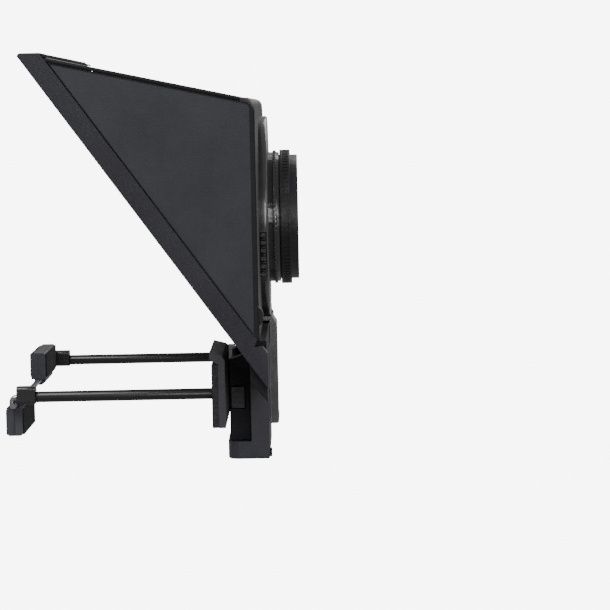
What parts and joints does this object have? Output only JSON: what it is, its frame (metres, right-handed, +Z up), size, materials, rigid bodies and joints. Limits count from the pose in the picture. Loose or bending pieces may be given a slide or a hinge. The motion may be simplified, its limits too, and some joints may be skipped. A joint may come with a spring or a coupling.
{
  "type": "lens-mounted phone teleprompter",
  "caption": "Folding light hood with an angled beam-splitter glass that clips to a camera lens, with a spring wire clamp for a phone below the glass.",
  "frame": {"origin": "on the lens axis, at the step ring's rear shoulder where the male filter thread starts", "axes": "+X along the lens axis towards the camera, +Z up, +Y across the hood; the presenter is at -X"},
  "size_m": [0.1241, 0.216, 0.1757],
  "materials": {
    "anodised_ring": "black anodised, knurled, semi-gloss",
    "anodised_step_ring": "black anodised, matte",
    "textured_back": "fine spark-eroded texture",
    "satin_collar": "satin black",
    "black_screws": "black oxide",
    "satin_black_catch": "satin black",
    "spring_steel": "bright drawn wire",
    "frame_plastic": "fine matte moulding",
    "beam_splitter": "half-silvered beam-splitter coating",
    "black_strip": "black felt-backed strip",
    "hood_board": "dark grey laminated board, matte, black bound edges",
    "housing_plastic": "matte black moulding",
    "foot_plastic": "dark grey satin moulding",
    "brass_insert": "turned brass",
    "nub_rubber": "black rubber",
    "cover_plastic": "satin dark grey",
    "jaw_plastic": "dark grey satin moulding",
    "pad_rubber": "rough black rubber",
    "tube_black": "black painted tube",
    "cap_plastic": "semi-gloss black",
    "bright_wire": "bright plated steel wire",
    "claw_plastic": "dark grey moulding with a parting line"
  },
  "bodies": {
    "lens_adapter": {"adapter_ring": "anodised_ring", "step_ring": "anodised_step_ring"},
    "base": {"back_frame": "textured_back", "lens_collar": "satin_collar", "collar_screws": "black_screws", "latch_springs": "spring_steel", "hinge_pins": "spring_steel", "hinge_housing": "housing_plastic", "foot": "foot_plastic", "tripod_insert": "brass_insert", "foot_nub": "nub_rubber", "rail": "housing_plastic", "button_springs": "spring_steel", "rear_cover": "cover_plastic", "cover_screws": "black_screws", "cover_cap": "cover_plastic", "hood_side_near": "hood_board", "hood_side_far": "hood_board", "hood_top": "hood_board"},
    "ring_latch": {"ring_latch": "satin_black_catch"},
    "glass_frame": {"frame_beam_near": "frame_plastic", "frame_beam_far": "frame_plastic", "frame_top_rail": "frame_plastic", "frame_bottom_rail": "frame_plastic", "beam_splitter_glass": "beam_splitter", "glass_retainers": "black_strip", "hood_clip": "black_strip"},
    "lock_button_near": {"lock_button_near": "satin_black_catch"},
    "lock_button_far": {"lock_button_far": "satin_black_catch"},
    "slide_catch": {"slide_catch": "satin_black_catch"},
    "carriage": {"slide_block": "housing_plastic", "clamp_jaw": "jaw_plastic", "jaw_pad": "pad_rubber", "guide_tubes": "tube_black", "tube_end_caps": "cap_plastic", "bail_springs": "spring_steel"},
    "bail": {"wire_bail": "bright_wire", "bail_collars": "spring_steel"},
    "claw_near": {"claw_near": "claw_plastic", "claw_pads_near": "pad_rubber"},
    "claw_far": {"claw_far": "claw_plastic", "claw_pads_far": "pad_rubber"}
  },
  "joints": [
    {"name": "frame_roll", "type": "hinge", "parent": "lens_adapter", "child": "base", "pos_m": [-0.01, 0, 0], "axis": [1, 0, 0], "continuous": true},
    {"name": "hood_fold", "type": "hinge", "parent": "base", "child": "glass_frame", "pos_m": [-0.0163, 0, -0.0357], "axis": [0, 1, 0], "range_deg": [0, 35.8], "deforming": ["hood_side_near", "hood_side_far", "hood_top"]},
    {"name": "ring_latch_slide", "type": "slide", "parent": "base", "child": "ring_latch", "axis": [0, -1, 0], "range_m": [0, 0.0025], "stiffness_N_per_m": 400, "springref_m": -0.003, "deforming": ["latch_springs"]},
    {"name": "carriage_slide", "type": "slide", "parent": "base", "child": "carriage", "axis": [0, 0, 1], "range_m": [-0.01, 0.012]},
    {"name": "bail_slide", "type": "slide", "parent": "carriage", "child": "bail", "axis": [-1, 0, 0], "range_m": [0, 0.045], "stiffness_N_per_m": 120, "springref_m": -0.03, "deforming": ["bail_springs"]},
    {"name": "claw_near_swivel", "type": "hinge", "parent": "bail", "child": "claw_near", "pos_m": [-0.1171, 0, -0.0741], "axis": [0, 1, 0], "range_deg": [0, 180]},
    {"name": "claw_far_swivel", "type": "hinge", "parent": "bail", "child": "claw_far", "pos_m": [-0.1171, 0, -0.0741], "axis": [0, -1, 0], "range_deg": [0, 180]},
    {"name": "lock_button_near_press", "type": "slide", "parent": "base", "child": "lock_button_near", "axis": [0, 1, 0], "range_m": [0, 0.0012], "stiffness_N_per_m": 500, "springref_m": -0.002, "deforming": ["button_springs"]},
    {"name": "lock_button_far_press", "type": "slide", "parent": "base", "child": "lock_button_far", "axis": [0, -1, 0], "range_m": [0, 0.0012], "stiffness_N_per_m": 500, "springref_m": -0.002},
    {"name": "catch_slide", "type": "slide", "parent": "base", "child": "slide_catch", "axis": [0, 0, 1], "range_m": [0, 0.005]}
  ]
}
